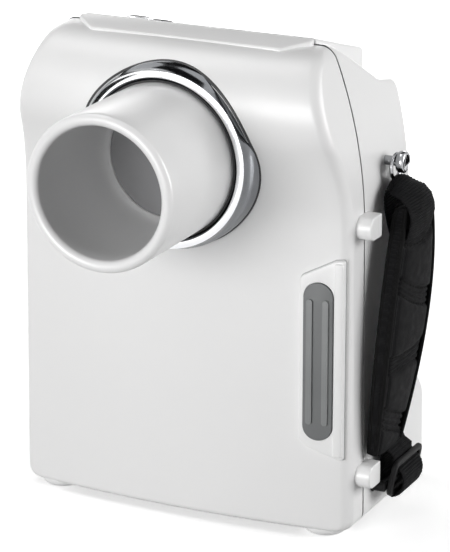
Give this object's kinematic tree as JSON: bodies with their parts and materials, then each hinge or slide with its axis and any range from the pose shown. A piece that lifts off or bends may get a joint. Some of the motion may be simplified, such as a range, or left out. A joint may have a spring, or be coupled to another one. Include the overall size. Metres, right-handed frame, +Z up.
{
  "type": "intraoral_xray_unit",
  "caption": "Handheld intraoral X-ray unit with a white moulded casing, an aiming cone in a chrome bezel, a sloping control deck and a padded hand strap.",
  "frame": {"origin": "the mouth of the tripod thread in the casing's underside", "axes": "+Z up along the casing, +X towards the hand strap (right of a viewer facing the cone), the cone points to -Y"},
  "size_m": [0.1832, 0.1703, 0.227],
  "materials": {
    "casing_white": "glossy moulded plastic with a clear coat",
    "cone_white": "satin moulded plastic",
    "bezel_chrome": "mirror chrome plating",
    "seal_black": "matt rubber",
    "grip_grey": "soft grey rubber with a satin face",
    "post_white": "polished plastic",
    "foot_white": "soft white plastic",
    "steel": "plain steel",
    "stud_chrome": "polished chrome",
    "brass": "turned brass",
    "display_dark": "dark glossy lens",
    "key_grey": "satin key caps",
    "button_dark": "satin dark caps",
    "board_green": "solder-masked board",
    "tank_alu": "plain aluminium",
    "glass": "clear glass",
    "copper": "copper with a tungsten target",
    "lead_grey": "dull lead",
    "core_brown": "varnished winding and core",
    "battery_blue": "shrink-wrapped cells",
    "socket_black": "moulded plastic",
    "strap_black": "padded cloth with sewn channels",
    "web_black": "ribbed webbing",
    "buckle_black": "moulded plastic",
    "disc_grey": "matt disc"
  },
  "bodies": {
    "casing": {"front_shell": "casing_white", "rear_shell": "casing_white", "shell_screws": "steel", "cone_bezel": "bezel_chrome", "cone_seal": "seal_black", "cone": "cone_white", "cone_window": "disc_grey", "grip_plate": "post_white", "grip_pad": "grip_grey", "upper_side_post": "post_white", "lower_side_post": "post_white", "feet": "foot_white", "tripod_insert": "brass", "display_window": "display_dark", "display_module": "socket_black", "exposure_ring": "stud_chrome", "control_board": "board_green", "buzzer": "socket_black", "generator_tank": "tank_alu", "tube_envelope": "glass", "anode": "copper", "cathode": "steel", "collimator": "lead_grey", "filter_disc": "tank_alu", "step_up_transformer": "core_brown", "chassis_plate": "tank_alu", "chassis_screws": "steel", "drive_board": "board_green", "battery_pack": "battery_blue", "battery_cover": "casing_white", "battery_screws": "steel", "charge_socket": "socket_black", "strap_stud": "stud_chrome", "strap_ring": "stud_chrome", "strap_top_web": "web_black", "strap_pad": "strap_black", "strap_low_web": "web_black", "strap_buckle": "buckle_black", "strap_bar": "buckle_black"},
    "exposure_button_body": {"exposure_button": "button_dark"},
    "power_button_body": {"power_button": "button_dark"},
    "mode_key_body": {"mode_key": "key_grey"},
    "minus_key_body": {"minus_key": "key_grey"},
    "plus_key_body": {"plus_key": "key_grey"},
    "store_key_body": {"store_key": "key_grey"}
  },
  "joints": [
    {"name": "exposure_button_press", "type": "slide", "parent": "casing", "child": "exposure_button_body", "axis": [0, 0.284, 0.9588], "range_m": [-0.0008, 0], "stiffness_N_per_m": 900},
    {"name": "power_button_press", "type": "slide", "parent": "casing", "child": "power_button_body", "axis": [0, 0.284, 0.9588], "range_m": [-0.0008, 0], "stiffness_N_per_m": 700},
    {"name": "mode_key_press", "type": "slide", "parent": "casing", "child": "mode_key_body", "axis": [0, 0.284, 0.9588], "range_m": [-0.0008, 0], "stiffness_N_per_m": 700},
    {"name": "minus_key_press", "type": "slide", "parent": "casing", "child": "minus_key_body", "axis": [0, 0.284, 0.9588], "range_m": [-0.0008, 0], "stiffness_N_per_m": 700},
    {"name": "plus_key_press", "type": "slide", "parent": "casing", "child": "plus_key_body", "axis": [0, 0.284, 0.9588], "range_m": [-0.0008, 0], "stiffness_N_per_m": 700},
    {"name": "store_key_press", "type": "slide", "parent": "casing", "child": "store_key_body", "axis": [0, 0.284, 0.9588], "range_m": [-0.0008, 0], "stiffness_N_per_m": 700}
  ]
}
